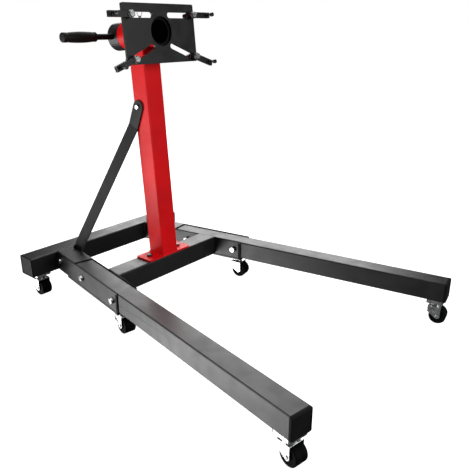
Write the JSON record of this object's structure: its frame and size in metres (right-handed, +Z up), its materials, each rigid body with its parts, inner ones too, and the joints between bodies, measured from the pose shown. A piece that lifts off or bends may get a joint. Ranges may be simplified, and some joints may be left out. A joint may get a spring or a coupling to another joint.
{
  "type": "engine stand",
  "caption": "Folding engine stand on swivel casters, with splayed legs, a braced leaning post and a rotating slotted plate with adjustable arms.",
  "frame": {"origin": "centre of the whole stand's footprint, on the floor", "axes": "+Z up, -Y to the front where the splayed legs point, +Y to the rear crossbeam, +X to the right seen from the front, looking along +Y"},
  "size_m": [0.8432, 1.1692, 0.9092],
  "materials": {
    "black_coat": "satin powder coat",
    "red_coat": "gloss powder coat",
    "zinc": "bright zinc plate",
    "dark_oxide": "black oxide",
    "black_plastic": "fine moulded grain",
    "rubber": "matte"
  },
  "bodies": {
    "base": {"rear_crossbeam": "black_coat", "front_crossbeam": "black_coat", "post": "red_coat", "head_housing": "red_coat", "brace_top_bolt": "zinc", "rear_beam_cap_left": "black_plastic", "side_rail_left": "black_coat", "brace_left": "black_coat", "brace_foot_bolt_left": "zinc", "post_base_bolt_left": "zinc", "leg_pivot_bolt_left": "zinc", "leg_lock_bolt_head_left": "zinc", "leg_lock_bolt_nut_left": "zinc", "rear_beam_cap_right": "black_plastic", "side_rail_right": "black_coat", "brace_right": "black_coat", "brace_foot_bolt_right": "zinc", "post_base_bolt_right": "zinc", "leg_pivot_bolt_right": "zinc", "leg_lock_bolt_head_right": "zinc", "leg_lock_bolt_nut_right": "zinc", "caster_rear_left_plate": "zinc", "caster_rear_right_plate": "zinc", "caster_mid_left_plate": "zinc", "caster_mid_right_plate": "zinc"},
    "folding_leg_left": {"leg_left": "black_coat", "leg_cap_left": "black_plastic", "caster_front_left_plate": "zinc"},
    "folding_leg_right": {"leg_right": "black_coat", "leg_cap_right": "black_plastic", "caster_front_right_plate": "zinc"},
    "fork_rear_left": {"caster_rear_left_fork": "zinc"},
    "roller_rear_left": {"caster_rear_left_wheel": "rubber"},
    "fork_rear_right": {"caster_rear_right_fork": "zinc"},
    "roller_rear_right": {"caster_rear_right_wheel": "rubber"},
    "fork_mid_left": {"caster_mid_left_fork": "zinc"},
    "roller_mid_left": {"caster_mid_left_wheel": "rubber"},
    "fork_mid_right": {"caster_mid_right_fork": "zinc"},
    "roller_mid_right": {"caster_mid_right_wheel": "rubber"},
    "fork_front_left": {"caster_front_left_fork": "zinc"},
    "roller_front_left": {"caster_front_left_wheel": "rubber"},
    "fork_front_right": {"caster_front_right_fork": "zinc"},
    "roller_front_right": {"caster_front_right_wheel": "rubber"},
    "turning_head": {"head_plate": "black_coat", "head_spindle": "black_coat", "rear_collar": "black_coat", "handle_rod": "dark_oxide", "handle_grip": "black_plastic"},
    "pin": {"lock_pin": "zinc"},
    "clamp_upper_left": {"clamp_bolt_upper_left": "zinc"},
    "swing_arm_upper_left": {"arm_upper_left": "black_coat"},
    "clamp_upper_right": {"clamp_bolt_upper_right": "zinc"},
    "swing_arm_upper_right": {"arm_upper_right": "black_coat"},
    "clamp_lower_left": {"clamp_bolt_lower_left": "zinc"},
    "swing_arm_lower_left": {"arm_lower_left": "black_coat"},
    "clamp_lower_right": {"clamp_bolt_lower_right": "zinc"},
    "swing_arm_lower_right": {"arm_lower_right": "black_coat"}
  },
  "joints": [
    {"name": "leg_fold_left", "type": "hinge", "parent": "base", "child": "folding_leg_left", "pos_m": [-0.22733, 0.32965, 0.1078], "axis": [-0.9839, 0.1788, 0], "range_deg": [0, 88]},
    {"name": "leg_fold_right", "type": "hinge", "parent": "base", "child": "folding_leg_right", "pos_m": [0.22733, 0.32965, 0.1078], "axis": [-0.9839, -0.1788, 0], "range_deg": [0, 88]},
    {"name": "swivel_rear_left", "type": "hinge", "parent": "base", "child": "fork_rear_left", "pos_m": [-0.28, 0.55156, 0.06], "axis": [0, 0, 1], "continuous": true},
    {"name": "roll_rear_left", "type": "hinge", "parent": "fork_rear_left", "child": "roller_rear_left", "pos_m": [-0.28, 0.53856, 0.0255], "axis": [1, 0, 0], "continuous": true},
    {"name": "swivel_rear_right", "type": "hinge", "parent": "base", "child": "fork_rear_right", "pos_m": [0.28, 0.55156, 0.06], "axis": [0, 0, 1], "continuous": true},
    {"name": "roll_rear_right", "type": "hinge", "parent": "fork_rear_right", "child": "roller_rear_right", "pos_m": [0.28, 0.53856, 0.0255], "axis": [1, 0, 0], "continuous": true},
    {"name": "swivel_mid_left", "type": "hinge", "parent": "base", "child": "fork_mid_left", "pos_m": [-0.26255, 0.13583, 0.06], "axis": [0, 0, 1], "continuous": true},
    {"name": "roll_mid_left", "type": "hinge", "parent": "fork_mid_left", "child": "roller_mid_left", "pos_m": [-0.26487, 0.12304, 0.0255], "axis": [0.9839, -0.1788, 0], "continuous": true},
    {"name": "swivel_mid_right", "type": "hinge", "parent": "base", "child": "fork_mid_right", "pos_m": [0.26255, 0.13583, 0.06], "axis": [0, 0, 1], "continuous": true},
    {"name": "roll_mid_right", "type": "hinge", "parent": "fork_mid_right", "child": "roller_mid_right", "pos_m": [0.26487, 0.12304, 0.0255], "axis": [0.9839, 0.1788, 0], "continuous": true},
    {"name": "swivel_front_left", "type": "hinge", "parent": "folding_leg_left", "child": "fork_front_left", "pos_m": [-0.38605, -0.54374, 0.06], "axis": [0, 0, 1], "continuous": true},
    {"name": "roll_front_left", "type": "hinge", "parent": "fork_front_left", "child": "roller_front_left", "pos_m": [-0.38837, -0.55653, 0.0255], "axis": [0.9839, -0.1788, 0], "continuous": true},
    {"name": "swivel_front_right", "type": "hinge", "parent": "folding_leg_right", "child": "fork_front_right", "pos_m": [0.38605, -0.54374, 0.06], "axis": [0, 0, 1], "continuous": true},
    {"name": "roll_front_right", "type": "hinge", "parent": "fork_front_right", "child": "roller_front_right", "pos_m": [0.38837, -0.55653, 0.0255], "axis": [0.9839, 0.1788, 0], "continuous": true},
    {"name": "head_turn", "type": "hinge", "parent": "base", "child": "turning_head", "pos_m": [0, 0.20292, 0.83489], "axis": [0, 0.9957, -0.0924], "continuous": true},
    {"name": "pin_slide", "type": "slide", "parent": "base", "child": "pin", "axis": [0, 0.0924, 0.9957], "range_m": [-0.005, 0.003]},
    {"name": "clamp_slide_upper_left", "type": "slide", "parent": "turning_head", "child": "clamp_upper_left", "axis": [-1, 0, 0], "range_m": [-0.0787, 0.0015]},
    {"name": "arm_swivel_upper_left", "type": "hinge", "parent": "clamp_upper_left", "child": "swing_arm_upper_left", "pos_m": [-0.1187, 0.20694, 0.8782], "axis": [0, 0.9957, -0.0924], "continuous": true},
    {"name": "clamp_slide_upper_right", "type": "slide", "parent": "turning_head", "child": "clamp_upper_right", "axis": [1, 0, 0], "range_m": [-0.0787, 0.0015]},
    {"name": "arm_swivel_upper_right", "type": "hinge", "parent": "clamp_upper_right", "child": "swing_arm_upper_right", "pos_m": [0.1187, 0.20694, 0.8782], "axis": [0, 0.9957, -0.0924], "continuous": true},
    {"name": "clamp_slide_lower_left", "type": "slide", "parent": "turning_head", "child": "clamp_lower_left", "axis": [-0.9304, -0.0339, -0.3649], "range_m": [-0.083, 0.0015]},
    {"name": "arm_swivel_lower_left", "type": "hinge", "parent": "clamp_lower_left", "child": "swing_arm_lower_left", "pos_m": [-0.1187, 0.19613, 0.7617], "axis": [0, 0.9957, -0.0924], "continuous": true},
    {"name": "clamp_slide_lower_right", "type": "slide", "parent": "turning_head", "child": "clamp_lower_right", "axis": [0.9304, -0.0339, -0.3649], "range_m": [-0.083, 0.0015]},
    {"name": "arm_swivel_lower_right", "type": "hinge", "parent": "clamp_lower_right", "child": "swing_arm_lower_right", "pos_m": [0.1187, 0.19613, 0.7617], "axis": [0, 0.9957, -0.0924], "continuous": true}
  ]
}
